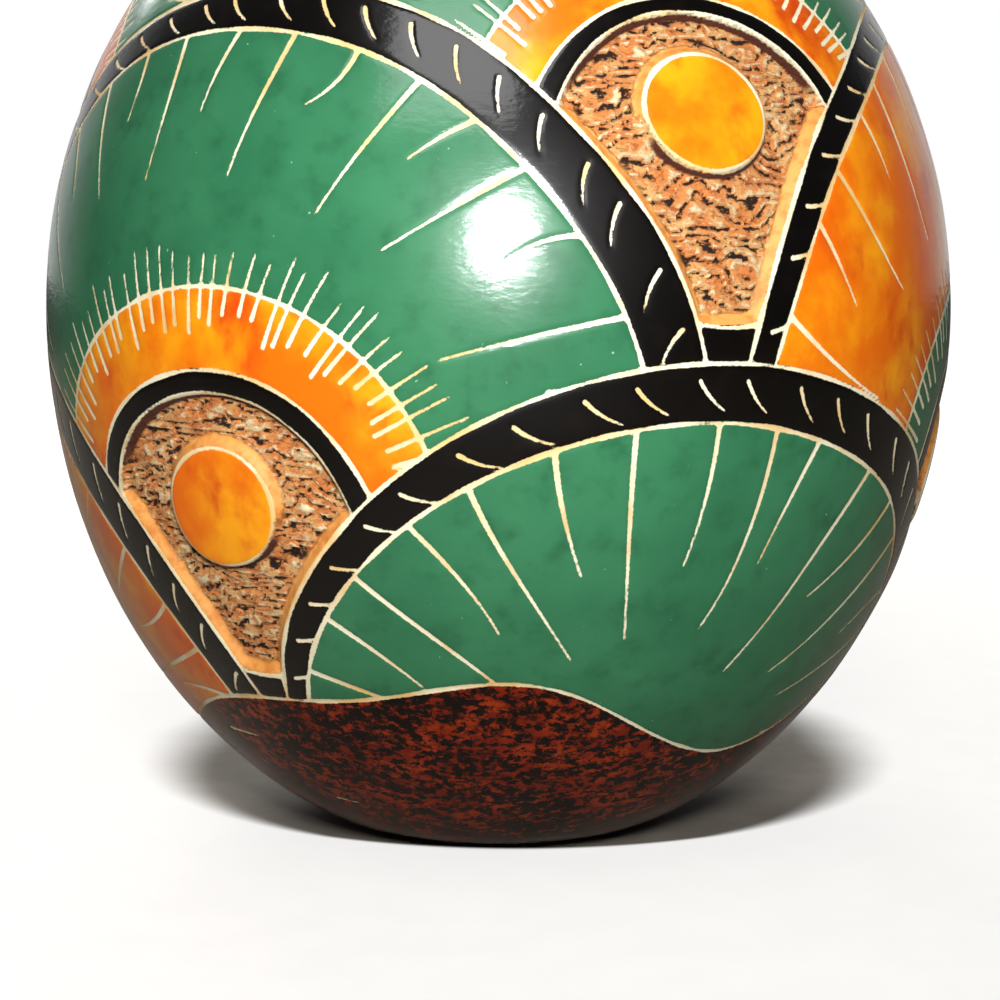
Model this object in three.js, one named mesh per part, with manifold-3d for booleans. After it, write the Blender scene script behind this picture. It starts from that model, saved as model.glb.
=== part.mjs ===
import * as THREE from "three";
import { mergeVertices } from "three/addons/utils/BufferGeometryUtils.js";
import Module from "manifold-3d";

// A round earthenware vase, built up from the clay sections that a potter lutes together.
// Millimetres, +Z up, turned about the Z axis, standing on Z = 0.

// Outside shape
const BELLY_RADIUS = 90; // widest line of the pot
const BELLY_HEIGHT = 103; // height of the widest line
const HEEL_RADIUS = 41.5; // where the wall ends on the slab and turns under to the foot
const ROOT_RADIUS = 44; // where the dome turns into the neck
const ROOT_HEIGHT = 192.5;
const NECK_CURVE = 14; // radius of the hollow curve of the neck
const NECK_FLARE = 30; // degrees that the neck opens past its waist
const LIP_WIDTH = 9.5; // rolled coil round the mouth
const LIP_RISE = 6.5;

// Clay and joints
const WALL = 6;
const FLOOR = 9; // thickness of the slab inside the wall
const LEDGE = 6; // thickness of the slab under the wall
const COLLAR_DROP = 2.5; // how far the collar's seat is below the neck's root
const LAP_HEIGHT = 4; // overlap of the two bowls at the widest line
const SLIP_GAP = 0.3; // room for the slip that bonds a joint

// Carved hollows. Overlapping fans cover the wall in rows, each row half a fan aside from the next and
// lapping over the row above, and a hollow at the foot of each fan shows between the two fans below it.
// Places are on the unrolled wall, with its height counted from the widest line.
const FANS = 3; // in a row
const CARVED_ROWS = 3;
const FAN_RADIUS = 92;
const FAN_DROP = 72; // from one row to the next
const TOP_FAN = 121; // height of the middle of the top row's fans
const FAN_SHIFT = 40; // of a fan of the second row from the front
const SHOULDER_LINE = 101; // band round the neck that covers the fans
const HOLLOW_RADIUS = 30;
const HOLLOW_DROP = 16; // under the middle of its fan
const HOLLOW_DEPTH = 1.9;
const DISC_RADIUS = 12; // left standing in the hollow
const DISC_DROP = 8;

// Facets
const TURN_STEPS = 64; // round the axis
const HEEL_STEPS = 4; // along the slab's edge
const BOWL_STEPS = 11; // along the wall of a bowl
const NECK_STEPS = 6; // along the neck
const LIP_STEPS = 10; // over the lip
const HOLLOW_STEPS = 5; // along half of a hollow's edge
const HALF_DISC_STEPS = 6; // along half of a disc's edge
const SHEET_STEPS = 400; // up the unrolled wall
const EDGE_ERROR = 0.05; // of a hollow's width

// Half heights of the two ellipses that meet at the widest line. The lower one passes through the heel,
// at the height of the slab's ledge, and the upper one through the root of the neck.
const LOWER_REACH = (BELLY_HEIGHT - LEDGE) / Math.sqrt(1 - (HEEL_RADIUS / BELLY_RADIUS) ** 2);
const UPPER_REACH = (ROOT_HEIGHT - BELLY_HEIGHT) / Math.sqrt(1 - (ROOT_RADIUS / BELLY_RADIUS) ** 2);

// Radius of an ellipse about the axis, at a height above or below its widest line.
function ellipseRadius(widest, reach, offset) {
  return widest * Math.sqrt(1 - (offset / reach) ** 2);
}

// Unit direction out of an ellipse, as a radial and an upward part.
function ellipseNormal(widest, reach, offset) {
  const outward = ellipseRadius(widest, reach, offset) / widest ** 2;
  return new THREE.Vector2(outward, offset / reach ** 2).normalize();
}

const ROOT_NORMAL = ellipseNormal(BELLY_RADIUS, UPPER_REACH, ROOT_HEIGHT - BELLY_HEIGHT);
const HEEL_NORMAL = ellipseNormal(BELLY_RADIUS, LOWER_REACH, LEDGE - BELLY_HEIGHT);

// The slab's edge is an arc that is tangent to the wall at the heel and to the flat underside.
const HEEL_CURVE = LEDGE / (1 + HEEL_NORMAL.y);
const FOOT_RADIUS = HEEL_RADIUS - HEEL_CURVE * HEEL_NORMAL.x;

// One face of the wall: the outside with no inset, or the inside with the wall's thickness as inset.
// It rises as two ellipses and runs on in an arc that is tangent to the upper one.
function wallFace(inset) {
  const widest = BELLY_RADIUS - inset;
  const lower = LOWER_REACH - inset;
  const upper = UPPER_REACH - inset;
  const rootHeight = ROOT_HEIGHT - inset * ROOT_NORMAL.y;
  const rootOffset = rootHeight - BELLY_HEIGHT;
  const curve = NECK_CURVE + inset;
  const centre = ellipseNormal(widest, upper, rootOffset).multiplyScalar(curve);
  centre.add(new THREE.Vector2(ellipseRadius(widest, upper, rootOffset), rootHeight));

  function radiusAt(height) {
    if (height > rootHeight) {
      return centre.x - Math.sqrt(curve ** 2 - (height - centre.y) ** 2);
    }
    const offset = height - BELLY_HEIGHT;
    return ellipseRadius(widest, offset < 0 ? lower : upper, offset);
  }
  return { radiusAt, centre, curve, lower, upper };
}

const outside = wallFace(0);
const inside = wallFace(WALL);

const COLLAR_SEAT = ROOT_HEIGHT - COLLAR_DROP;
const NECK_TOP = outside.centre.y + outside.curve * Math.sin(THREE.MathUtils.degToRad(NECK_FLARE));

// Points up one face of the wall between two heights. On a bowl they are spaced evenly by the angle of
// its ellipse, which puts them close together where the wall leans most.
function bowlPoints(face, from, to) {
  const reach = from < BELLY_HEIGHT ? face.lower : face.upper;
  const first = Math.asin((from - BELLY_HEIGHT) / reach);
  const last = Math.asin((to - BELLY_HEIGHT) / reach);
  const points = [];
  for (let step = 0; step <= BOWL_STEPS; step += 1) {
    const height = BELLY_HEIGHT + reach * Math.sin(THREE.MathUtils.lerp(first, last, step / BOWL_STEPS));
    points.push(new THREE.Vector2(face.radiusAt(height), height));
  }
  return points;
}

function neckPoints(face, from, to) {
  const points = [];
  for (let step = 0; step <= NECK_STEPS; step += 1) {
    const height = THREE.MathUtils.lerp(from, to, step / NECK_STEPS);
    points.push(new THREE.Vector2(face.radiusAt(height), height));
  }
  return points;
}

// Turns an outline about the axis. It runs up the outside and down the inside, and a ring's outline is
// closed here with its own first point.
function turned(outline) {
  const onAxis = outline[0].x === 0;
  const points = onAxis ? outline : [...outline, outline[0].clone()];
  return new THREE.LatheGeometry(points, TURN_STEPS).rotateX(Math.PI / 2);
}

function section(name, geometry, colour, roughness) {
  const material = new THREE.MeshStandardMaterial({ color: colour, roughness, metalness: 0 });
  const mesh = new THREE.Mesh(geometry, material);
  mesh.name = name;
  return mesh;
}

// Slab that the pot stands on. Its raised floor fits inside the wall and its ledge carries the wall.
const floorRadius = inside.radiusAt(FLOOR) - SLIP_GAP;
const heelStart = 1.5 * Math.PI;
const heelEnd = HEEL_NORMAL.angle();
const heelCurve = new THREE.EllipseCurve(FOOT_RADIUS, HEEL_CURVE, HEEL_CURVE, HEEL_CURVE, heelStart, heelEnd);
const slabOutline = [
  new THREE.Vector2(0, 0),
  ...heelCurve.getPoints(HEEL_STEPS),
  new THREE.Vector2(floorRadius, LEDGE),
  new THREE.Vector2(floorRadius, FLOOR),
  new THREE.Vector2(0, FLOOR),
];

// Bowl from the ledge to the widest line. The inner half of its rim stands up as a tongue.
const lapRadius = (outside.radiusAt(BELLY_HEIGHT) + inside.radiusAt(BELLY_HEIGHT)) / 2;
const tongueTop = BELLY_HEIGHT + LAP_HEIGHT - SLIP_GAP;
const lowerOutline = [
  ...bowlPoints(outside, LEDGE, BELLY_HEIGHT),
  new THREE.Vector2(lapRadius - SLIP_GAP / 2, BELLY_HEIGHT),
  new THREE.Vector2(lapRadius - SLIP_GAP / 2, tongueTop),
  new THREE.Vector2(inside.radiusAt(tongueTop), tongueTop),
  ...bowlPoints(inside, FLOOR, BELLY_HEIGHT).reverse(),
  new THREE.Vector2(inside.radiusAt(FLOOR), LEDGE),
];

// Dome from the widest line to the seat of the collar. It laps over the tongue from outside.
const lapTop = BELLY_HEIGHT + LAP_HEIGHT;
const upperOutline = [
  ...bowlPoints(outside, BELLY_HEIGHT, COLLAR_SEAT),
  ...bowlPoints(inside, lapTop, COLLAR_SEAT).reverse(),
  new THREE.Vector2(lapRadius + SLIP_GAP / 2, lapTop),
  new THREE.Vector2(lapRadius + SLIP_GAP / 2, BELLY_HEIGHT),
];

// Height of the wall at a height of its unrolled sheet. Going up, the sheet is stretched as much as it is
// widened to the girth of the widest line, so that a circle drawn on it stays round on the pot.
function heightOnWall(sheetHeight) {
  const step = sheetHeight / SHEET_STEPS;
  const reach = sheetHeight < 0 ? LOWER_REACH : UPPER_REACH;
  let offset = 0;
  for (let count = 0; count < SHEET_STEPS; count += 1) {
    const shrink = ellipseRadius(BELLY_RADIUS, reach, offset) / BELLY_RADIUS;
    offset += step * shrink * ellipseNormal(BELLY_RADIUS, reach, offset).x;
  }
  return BELLY_HEIGHT + offset;
}

// Wraps a shape that is drawn on the sheet round the pot, as a solid from under the wall to well outside.
function wrapped(shape) {
  const depth = 2 * (WALL + HOLLOW_DEPTH);
  const settings = { depth, steps: 1, bevelEnabled: false, curveSegments: HALF_DISC_STEPS };
  const geometry = new THREE.ExtrudeGeometry(shape, settings);
  const position = geometry.attributes.position;
  for (let index = 0; index < position.count; index += 1) {
    const height = heightOnWall(position.getY(index));
    const offset = height - BELLY_HEIGHT;
    const normal = ellipseNormal(BELLY_RADIUS, offset < 0 ? LOWER_REACH : UPPER_REACH, offset);
    const out = position.getZ(index) - 2 * HOLLOW_DEPTH;
    const radius = outside.radiusAt(height) + out * normal.x;
    const angle = position.getX(index) / BELLY_RADIUS;
    position.setXYZ(index, radius * Math.sin(angle), -radius * Math.cos(angle), height + out * normal.y);
  }
  return geometry;
}

// Edge of a hollow: a circle that the two fans below it and the band round the neck cover in part. Points
// are closest together in the middle, where the two fans nearly meet.
function hollowShape(x, fanHeight) {
  const middle = fanHeight - HOLLOW_DROP;
  const halfSpan = (Math.PI * BELLY_RADIUS) / FANS;
  const half = (aside) => Math.sqrt(Math.max(HOLLOW_RADIUS ** 2 - aside ** 2, 0));
  const top = (aside) => Math.min(middle + half(aside), SHOULDER_LINE);
  function bottom(aside) {
    const fanHalf = Math.sqrt(Math.max(FAN_RADIUS ** 2 - (halfSpan - Math.abs(aside)) ** 2, 0));
    return Math.max(middle - half(aside), fanHalf > 0 ? fanHeight - FAN_DROP + fanHalf : -Infinity);
  }
  let width = 0;
  for (let step = HOLLOW_RADIUS / 2; step > EDGE_ERROR; step /= 2) {
    width += top(width + step) > bottom(width + step) ? step : 0;
  }
  const upper = [];
  const lower = [];
  for (let step = -HOLLOW_STEPS; step <= HOLLOW_STEPS; step += 1) {
    const aside = (width * step * Math.abs(step)) / HOLLOW_STEPS ** 2;
    upper.unshift(new THREE.Vector2(x + aside, top(aside)));
    lower.push(new THREE.Vector2(x + aside, bottom(aside)));
  }
  return new THREE.Shape([...lower, ...upper]);
}

const wasm = await Module();
wasm.setup();

function toSolid(geometry) {
  const bare = geometry.clone();
  bare.deleteAttribute("normal");
  bare.deleteAttribute("uv");
  const merged = mergeVertices(bare);
  const vertProperties = Float32Array.from(merged.attributes.position.array);
  const triVerts = Uint32Array.from(merged.index.array);
  return new wasm.Manifold(new wasm.Mesh({ numProp: 3, vertProperties, triVerts }));
}

function toGeometry(solid) {
  const cut = solid.getMesh();
  const geometry = new THREE.BufferGeometry();
  geometry.setAttribute("position", new THREE.BufferAttribute(cut.vertProperties, 3));
  geometry.setIndex(new THREE.BufferAttribute(cut.triVerts, 1));
  geometry.computeVertexNormals();
  return geometry;
}

// What stays of the wall under the hollows, as a thick ring.
const floorFace = wallFace(HOLLOW_DEPTH);
const underHollows = toSolid(turned([
  ...bowlPoints(floorFace, LEDGE, BELLY_HEIGHT),
  ...bowlPoints(floorFace, BELLY_HEIGHT, COLLAR_SEAT).slice(1),
  new THREE.Vector2(floorRadius / 2, COLLAR_SEAT),
  new THREE.Vector2(floorRadius / 2, LEDGE),
]));

// Cuts the hollows into a bowl.
function carved(geometry) {
  let bowl = toSolid(geometry);
  for (let row = 0; row < CARVED_ROWS; row += 1) {
    const fanHeight = TOP_FAN - row * FAN_DROP;
    for (let fan = 0; fan < FANS; fan += 1) {
      const turns = (fan + (row % 2 === 0 ? 0.5 : 0)) / FANS;
      const x = FAN_SHIFT + turns * 2 * Math.PI * BELLY_RADIUS;
      const disc = new THREE.Shape().absarc(x, fanHeight - DISC_DROP, DISC_RADIUS, 0, 2 * Math.PI);
      const cutter = toSolid(wrapped(hollowShape(x, fanHeight)));
      bowl = bowl.subtract(cutter.subtract(toSolid(wrapped(disc))).subtract(underHollows));
    }
  }
  return toGeometry(bowl);
}

// Waisted neck, seated flat on the dome.
const collarOutline = [
  ...neckPoints(outside, COLLAR_SEAT, NECK_TOP),
  ...neckPoints(inside, COLLAR_SEAT, NECK_TOP).reverse(),
];

// Rolled coil that is centred on the top of the neck and overhangs it on both sides.
const lipRadius = (outside.radiusAt(NECK_TOP) + inside.radiusAt(NECK_TOP)) / 2;
const lipCurve = new THREE.EllipseCurve(lipRadius, NECK_TOP, LIP_WIDTH / 2, LIP_RISE, 0, Math.PI);
const lipOutline = lipCurve.getPoints(LIP_STEPS);

const vase = new THREE.Group();
vase.name = "vase";
vase.add(section("base_slab", turned(slabOutline), "#7c2a16", 0.2));
vase.add(section("lower_bowl", carved(turned(lowerOutline)), "#8e2a12", 0.15));
vase.add(section("upper_bowl", carved(turned(upperOutline)), "#2e6b49", 0.15));
vase.add(section("neck_collar", turned(collarOutline), "#120a09", 0.15));
vase.add(section("lip_coil", turned(lipOutline), "#d9600f", 0.2));

export default vase;
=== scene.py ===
# %% [markdown]
# A burnished, carved earthenware vase. The real pot is built from luted clay sections, coated with coloured
# slips (clay thinned with water), rubbed to a gloss with a smooth stone, then scratched and carved through
# the slip to the buff clay. The CAD frame gives the plain sections. This lesson turns each of them again
# with many more points, paints a design on the unrolled wall, and cuts that design into the mesh.

# %% Load the frame
import math

import bpy
import numpy as np
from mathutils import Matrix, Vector


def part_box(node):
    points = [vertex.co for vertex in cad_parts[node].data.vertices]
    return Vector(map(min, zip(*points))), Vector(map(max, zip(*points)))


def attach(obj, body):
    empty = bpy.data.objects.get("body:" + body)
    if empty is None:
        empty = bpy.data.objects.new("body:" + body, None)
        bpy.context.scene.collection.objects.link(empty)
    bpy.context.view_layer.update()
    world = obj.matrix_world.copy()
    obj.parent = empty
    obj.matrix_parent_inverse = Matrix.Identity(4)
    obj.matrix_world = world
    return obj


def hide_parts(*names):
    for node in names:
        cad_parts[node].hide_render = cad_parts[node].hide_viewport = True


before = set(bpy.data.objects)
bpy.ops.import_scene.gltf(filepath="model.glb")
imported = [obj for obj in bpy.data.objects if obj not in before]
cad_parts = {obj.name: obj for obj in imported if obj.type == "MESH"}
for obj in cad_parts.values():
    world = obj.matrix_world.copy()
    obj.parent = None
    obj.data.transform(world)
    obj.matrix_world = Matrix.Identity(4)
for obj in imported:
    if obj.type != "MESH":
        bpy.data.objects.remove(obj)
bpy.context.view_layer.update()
MM = 0.001

# %% [markdown]
# Everything below hangs on the pot's outline, so it is read from the frame and not typed in again. Each CAD
# section is a stack of rings of points. The widest ring, the heel and the seat of the neck are enough to
# find the two ellipses of the bowls. Three rings of the neck give the hollow arc that it follows, and the
# foot and the heel give the arc in which the base turns under.

# %% Rings of the CAD sections
def rings(node):
    """Heights of a section's rings of points, with the least and the largest radius at each, in mm."""
    points = np.array([vertex.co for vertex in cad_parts[node].data.vertices]) / MM
    radii = np.hypot(points[:, 0], points[:, 1])
    heights = np.round(points[:, 2], 2)
    levels = np.unique(heights)
    at_level = [radii[heights == level] for level in levels]
    return levels, np.array([r.min() for r in at_level]), np.array([r.max() for r in at_level])


belly_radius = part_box("lower_bowl")[1].x / MM
belly_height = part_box("upper_bowl")[0].z / MM
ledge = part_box("lower_bowl")[0].z / MM
floor_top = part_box("base_slab")[1].z / MM
collar_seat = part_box("neck_collar")[0].z / MM
neck_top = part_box("lip_coil")[0].z / MM
pot_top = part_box("lip_coil")[1].z / MM
base_outer = rings("base_slab")[2]
foot_radius, pad_radius = base_outer[0], base_outer[-1]
neck_levels, neck_inner, neck_outer = rings("neck_collar")
lower_levels, lower_inner, lower_outer = rings("lower_bowl")
heel_radius = lower_outer[0]
wall = belly_radius - lower_inner[np.abs(lower_levels - belly_height).argmin()]
print(f"widest {belly_radius:.1f} at {belly_height:.1f}, foot {foot_radius:.1f}, top {pot_top:.1f} mm")

# %% Outside and inside of the wall
ARC_RINGS = [2, 4, -1]
DOME_STEPS = 5000


def ellipse_reach(radius, rise):
    """Half height of an ellipse that narrows from the widest line to a radius over a rise."""
    return rise / math.sqrt(1 - (radius / belly_radius) ** 2)


lower_reach = ellipse_reach(heel_radius, belly_height - ledge)
heel_curve = ((heel_radius - foot_radius) ** 2 + ledge ** 2) / (2 * ledge)
upper_reach = ellipse_reach(neck_outer[0], collar_seat - belly_height)
on_arc = np.column_stack([neck_outer, neck_levels])[ARC_RINGS]
neck_centre = np.linalg.solve(
    2 * (on_arc[1:] - on_arc[0]), (on_arc[1:] ** 2).sum(axis=1) - (on_arc[0] ** 2).sum()
)
neck_curve = np.hypot(*(on_arc[0] - neck_centre))
dome = np.linspace(belly_height, neck_centre[1], DOME_STEPS)
dome_radius = belly_radius * np.sqrt(np.clip(1 - ((dome - belly_height) / upper_reach) ** 2, 0, 1))
root_height = dome[np.hypot(dome_radius - neck_centre[0], dome - neck_centre[1]).argmin()]
root_up = (neck_centre[1] - root_height) / neck_curve


def wall_radius(height, inset=0.0):
    """Radius of the outside at a height, or of a face set in by some of the wall, in mm."""
    offset = height - belly_height
    reach = np.where(offset < 0, lower_reach, upper_reach) - inset
    bowl = (belly_radius - inset) * np.sqrt(np.clip(1 - (offset / reach) ** 2, 0, 1))
    curve = neck_curve + inset
    neck = neck_centre[0] - np.sqrt(np.clip(curve ** 2 - (height - neck_centre[1]) ** 2, 0, None))
    heel = foot_radius + np.sqrt(np.clip(heel_curve ** 2 - (heel_curve - height) ** 2, 0, None))
    above_ledge = np.where(height > root_height - inset * root_up, neck, bowl)
    return np.where(height < ledge, heel, above_ledge)


seat_error = wall_radius(collar_seat, wall) - neck_inner[0]
print(f"wall {wall:.2f}, neck curve {neck_curve:.2f} from {root_height:.1f} up, misfit {seat_error:.3f} mm")

# %% [markdown]
# A painted design needs a flat sheet to be drawn on. A round pot can't be flattened without stretch, but a
# sea chart's trick keeps every shape's angles: going up the wall, the sheet's own height grows by the
# distance walked times the widest radius over the radius there. Circles stay circles, only smaller towards
# the foot and the neck. The sheet is as wide as the pot is round at its widest line.

# %% The unrolled sheet
COLUMNS = 1120
ROW_STEP = 0.5
WALK_STEPS, CHART_STEPS = 4000, 20000
girth = 2 * math.pi * belly_radius


def walked(heights, inset=0.0):
    """Distance along the wall from the first height to each."""
    steps = np.hypot(np.diff(heights), np.diff(wall_radius(heights, inset)))
    return np.concatenate([[0], np.cumsum(steps)])


def wall_rows(low, high, step, inset=0.0):
    """Heights spaced evenly along the wall between two heights, at most step mm apart."""
    fine = np.linspace(low, high, WALK_STEPS)
    way = walked(fine, inset)
    count = math.ceil(way[-1] / step) + 1
    return np.interp(np.linspace(0, way[-1], count), way, fine)


joints = (0.0, ledge, belly_height, collar_seat, neck_top)
stretches = [wall_rows(low, high, ROW_STEP) for low, high in zip(joints, joints[1:])]
row_height = np.concatenate(stretches)
row_radius = wall_radius(row_height)
row_ends = np.cumsum([len(rows) for rows in stretches])
BASE, LOWER, UPPER, NECK = [slice(end - len(rows), end) for rows, end in zip(stretches, row_ends)]

chart = np.linspace(0, neck_top, CHART_STEPS)
chart_step = np.diff(walked(chart)) * belly_radius / wall_radius(chart[1:])
chart_y = np.concatenate([[0], np.cumsum(chart_step)])
chart_y -= np.interp(belly_height, chart, chart_y)
row_y = np.interp(row_height, chart, chart_y)
column_angle = np.arange(COLUMNS) * 2 * math.pi / COLUMNS
column_x = column_angle * belly_radius
shrink = (row_radius / belly_radius)[:, None]
print(f"sheet {girth:.0f} mm round, from {row_y[0]:.0f} to {row_y[-1]:.0f} mm, {len(row_y)} rows")

# %% [markdown]
# No potter draws a perfect circle, so the sheet is pulled a little out of true before anything is drawn on
# it. The pull is a sum of slow waves that close on themselves round the pot, with a fixed seed, so the three
# repeats of the design differ as hand work does. A quicker field of the same kind makes the needle press now
# harder and now lighter.

# %% Unsteady hand
HAND_SEED = 7
PULL, PULL_TURNS = 0.8, 9
PRESS_TURNS = 60
hand = np.random.default_rng(HAND_SEED)


def slow_waves(amount, most_turns, count=6):
    """A smooth random field on the sheet, in mm, that joins up round the pot."""
    field = np.zeros((len(row_y), COLUMNS))
    for _ in range(count):
        turns = hand.integers(1, most_turns)
        upward = hand.uniform(-1, 1) * most_turns / belly_radius
        start = hand.uniform(0, 2 * math.pi)
        field += np.sin(turns * column_angle[None, :] + upward * row_y[:, None] + start)
    return amount * field / math.sqrt(count)


drawn_x = column_x[None, :] + slow_waves(PULL, PULL_TURNS)
drawn_y = row_y[:, None] + slow_waves(PULL, PULL_TURNS)
pressure = slow_waves(1.0, PRESS_TURNS)
print(f"lines are pulled by up to {np.abs(drawn_x - column_x).max():.1f} mm")

# %% [markdown]
# The design is laid on as the potter lays slip: the newest coat covers what is under it. Three fields record
# the result at every point of the sheet. One says which slip shows, one how far the nearest scratched line's
# edge is, and one how far the edge of the nearest carved hollow is. Distances below zero are inside the line
# or the hollow, which later gives sharp edges at any distance from the camera. A line is drawn round every
# coat. A stroke of the needle starts broad and thins out to its end.

# %% Coats, lines and hollows
GREEN, BLACK, ORANGE, RUST, CARVED, BARE = range(6)
FAR = 9.0
LINE, HOLLOW_LINE, THINNEST = 0.75, 0.6, 0.42
PRESSED = 0.25
TAPER = 0.6
STROKE_MARGIN = 6.0
slip = np.full(drawn_x.shape, GREEN)
cut = np.full(drawn_x.shape, FAR)
hollow = np.full(drawn_x.shape, FAR)


def round_the_pot(distance):
    """A sideways distance on the sheet, by the shorter way round."""
    return (distance + girth / 2) % girth - girth / 2


def disc(x, y, radius):
    """Distance in real mm from the edge of a disc on the sheet, below zero inside it."""
    return (np.hypot(round_the_pot(drawn_x - x), drawn_y - y) - radius) * shrink


def scratch_along(edge, width=LINE):
    """Scratches a line of a varying width where a distance is zero."""
    np.minimum(cut, np.abs(edge) - width / 2 * (1 + PRESSED * pressure), out=cut)


def lay_slip(shape, colour):
    """Coats a shape, hides what it covers, and scratches a line round it."""
    inside = shape < 0
    slip[inside] = colour
    cut[inside] = FAR
    np.maximum(hollow, -shape, out=hollow)
    scratch_along(shape)


def carve_out(shape):
    """Cuts a shape down to the bare clay."""
    inside = shape < 0
    slip[inside] = CARVED
    cut[inside] = FAR
    np.minimum(hollow, shape, out=hollow)
    scratch_along(shape, HOLLOW_LINE)


def scratch(start, end, width, bow, within=None):
    """Draws the needle from start to end, lifting it as it goes, wherever within is below zero."""
    start, end = np.array(start, float), np.array(end, float)
    low = np.minimum(start, end) - STROKE_MARGIN
    high = np.maximum(start, end) + STROKE_MARGIN
    rows = np.arange(*np.searchsorted(row_y, (low[1], high[1])))
    first, last = np.floor(np.array((low[0], high[0])) / girth * COLUMNS).astype(int)
    block = np.ix_(rows, np.arange(first, last + 1) % COLUMNS)
    along = end - start
    length = np.hypot(*along)
    x = round_the_pot(drawn_x[block] - start[0])
    y = drawn_y[block] - start[1]
    way = (x * along[0] + y * along[1]) / length
    part = np.clip(way / length, 0, 1)
    aside = (x * along[1] - y * along[0]) / length - bow * 4 * part * (1 - part)
    away = np.hypot(aside, way - part * length) * shrink[rows]
    to_end = (1 - part) * length * shrink[rows]
    line = away - np.minimum(np.maximum(width * (1 - part) ** TAPER, THINNEST), to_end / 2) / 2
    if within is not None:
        line = np.where(within[block] < 0, line, FAR)
    cut[block] = np.minimum(cut[block], line)


print(f"sheet of {slip.size} points, coated green")

# %% [markdown]
# The pattern is a plain, old one: rows of overlapping fans, each row set half a fan aside and lapping over
# the row above, as fish scales or roof tiles do. A fan has a black crescent with slanted dashes for a rim, a
# broad field of green or orange with rays scratched inward from the rim, and a heart of the other colour with
# a fringe. At its foot a hollow is carved to the clay, with a small disc left standing in it. The lowest row
# shows only the top of its fans, which have neither. Fans and hollows have the sizes of the CAD model.
# Lengths are in mm, and sweeps, slants and wavers in degrees.

# %% Rim, field and rays of a fan
FANS = 3
fan_span = girth / FANS
FAN_RADIUS = 92.0
FIELD_RADIUS = 84.0
FIELD_SHIFT = (-3.0, -2.5)
DASHES, DASH_SWEEP, DASH_SLANT = 24, 80, 3.5
DASH_START, DASH_END = 3.0, 8.5
DASH_WIDTH, DASH_BOW = 0.8, 0.5
RAYS, RAY_SWEEP, RAY_SLANT = 17, 78, (2, 6)
LONG_RAY, SHORT_RAY = (0.75, 1), (0.4, 0.55)
RAY_WIDTH, RAY_BOW = 1.0, 1.5
WAVER, RAY_WAVER = 0.8, 1.5


def polar(x, y, radius, degrees):
    """A point on the sheet, at an angle clockwise from straight up."""
    turn = math.radians(degrees)
    return (x + radius * math.sin(turn), y + radius * math.cos(turn))


def fanned(number, count, sweep, waver):
    """Angle of one of a count of strokes that spread to both sides of straight up."""
    return -sweep + 2 * sweep * number / (count - 1) + hand.uniform(-waver, waver)


def draw_field(x, y, colour, longest):
    """A fan's black rim and coloured field, with the middle of the fan at a point. Gives the field."""
    field_x, field_y = x + FIELD_SHIFT[0], y + FIELD_SHIFT[1]
    field = disc(field_x, field_y, FIELD_RADIUS)
    lay_slip(disc(x, y, FAN_RADIUS), BLACK)
    for dash in range(DASHES):
        degrees = fanned(dash, DASHES, DASH_SWEEP, WAVER)
        start = polar(x, y, FAN_RADIUS - DASH_START, degrees)
        end = polar(x, y, FAN_RADIUS - DASH_END, degrees + DASH_SLANT)
        scratch(start, end, DASH_WIDTH, DASH_BOW)
    lay_slip(field, colour)
    for ray in range(RAYS):
        degrees = fanned(ray, RAYS, RAY_SWEEP, RAY_WAVER)
        depth = longest * hand.uniform(*(LONG_RAY if ray % 2 else SHORT_RAY))
        start = polar(field_x, field_y, FIELD_RADIUS, degrees)
        end = polar(field_x, field_y, FIELD_RADIUS - depth, degrees - hand.uniform(*RAY_SLANT))
        scratch(start, end, RAY_WIDTH, hand.uniform(-RAY_BOW, RAY_BOW), field)
    return field


print(f"{DASHES} dashes and {RAYS} rays on each fan")

# %% Heart and hollow of a fan
HEART_RADIUS = 48.0
HOLLOW_RADIUS = 30.0
HOLLOW_DROP = 16.0
HOLLOW_RIM, RIM_DROP = 5.5, 1.5
DISC_RADIUS = 12.0
DISC_DROP = 8.0
FRINGE, FRINGE_SWEEP, FRINGE_SLANT = 52, 98, 2
FRINGE_IN, FRINGE_OUT = (4, 8), (5, 9)
FRINGE_WIDTH = 0.85


def draw_heart(x, y, colour, field):
    """A fan's fringed heart, and the hollow with the disc left standing in it."""
    hollow_y = y - HOLLOW_DROP
    lay_slip(disc(x, hollow_y, HEART_RADIUS), colour)
    for stroke in range(FRINGE):
        degrees = fanned(stroke, FRINGE, FRINGE_SWEEP, WAVER)
        start = polar(x, hollow_y, HEART_RADIUS - hand.uniform(*FRINGE_IN), degrees)
        end = polar(x, hollow_y, HEART_RADIUS + hand.uniform(*FRINGE_OUT), degrees + FRINGE_SLANT)
        scratch(start, end, FRINGE_WIDTH, 0, field)
    lay_slip(disc(x, hollow_y - RIM_DROP, HOLLOW_RADIUS + HOLLOW_RIM), BLACK)
    carve_out(disc(x, hollow_y, HOLLOW_RADIUS))
    lay_slip(disc(x, y - DISC_DROP, DISC_RADIUS), colour)


print(f"{FRINGE} strokes in each fringe")

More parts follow.
